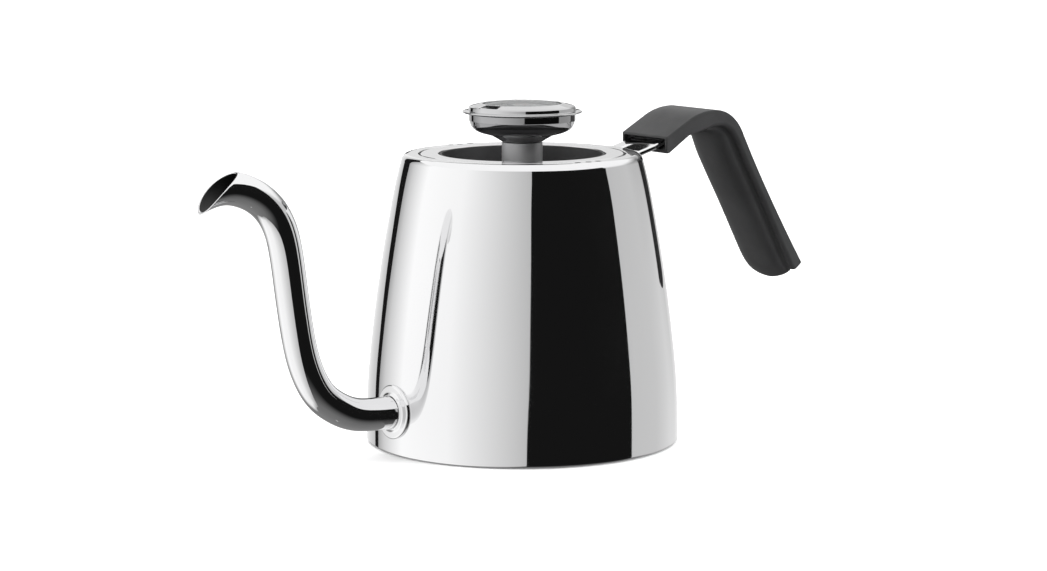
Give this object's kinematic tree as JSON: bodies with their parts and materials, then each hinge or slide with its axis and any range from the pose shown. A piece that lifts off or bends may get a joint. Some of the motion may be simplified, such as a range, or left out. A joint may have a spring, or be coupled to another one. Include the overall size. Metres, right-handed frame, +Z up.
{
  "type": "gooseneck kettle",
  "caption": "Polished steel gooseneck pour-over kettle with a lift-off lid, a dial thermometer in the lid knob and a bent black handle.",
  "frame": {"origin": "centre of the flat underside of the base, on the axis of the body and the lid", "axes": "+Z up along the body's axis, +X from the axis towards the handle, so the spout is towards -X"},
  "size_m": [0.2935, 0.1298, 0.1413],
  "materials": {
    "polished_steel": "mirror-polished stainless steel",
    "satin_steel": "satin turned stainless steel",
    "aluminium_core": "plain rolled aluminium disc",
    "black_nylon": "fine-grained matte moulded nylon",
    "grey_nylon": "matte moulded plastic",
    "silicone": "soft matte silicone",
    "brass": "turned brass",
    "lens_glass": "clear domed mineral glass",
    "dial_print": "matte dark enamel with a white printed scale",
    "pointer_paint": "satin red lacquer"
  },
  "bodies": {
    "kettle": {"body_shell": "polished_steel", "lid_seat_ring": "satin_steel", "base_cap": "satin_steel", "heat_spreader": "aluminium_core", "floor_pan": "satin_steel", "spout_tube": "polished_steel", "spout_flange": "polished_steel", "handle_bracket": "polished_steel", "handle_cover": "black_nylon", "handle_grip": "black_nylon", "handle_screw_front": "satin_steel", "handle_screw_rear": "satin_steel"},
    "lid": {"lid_plate": "polished_steel", "lid_well": "grey_nylon", "lid_liner": "satin_steel", "lid_gasket": "silicone", "knob_stem": "satin_steel", "knob_cup": "polished_steel", "knob_bezel": "polished_steel", "knob_lens": "lens_glass", "lens_gasket": "silicone", "stem_washer": "silicone", "stem_nut": "satin_steel", "probe_tube": "satin_steel", "bimetal_coil": "satin_steel", "spindle_bush": "brass", "dial_face": "dial_print"},
    "needle": {"pointer": "pointer_paint", "pointer_hub": "brass", "pointer_spindle": "satin_steel"}
  },
  "joints": [
    {"name": "lid_lift", "type": "slide", "parent": "kettle", "child": "lid", "axis": [0, 0, 1], "range_m": [0, 0.11]},
    {"name": "pointer_turn", "type": "hinge", "parent": "lid", "child": "needle", "pos_m": [0, 0, 0.1355], "axis": [0, 0, -1], "range_deg": [0, 270]}
  ]
}
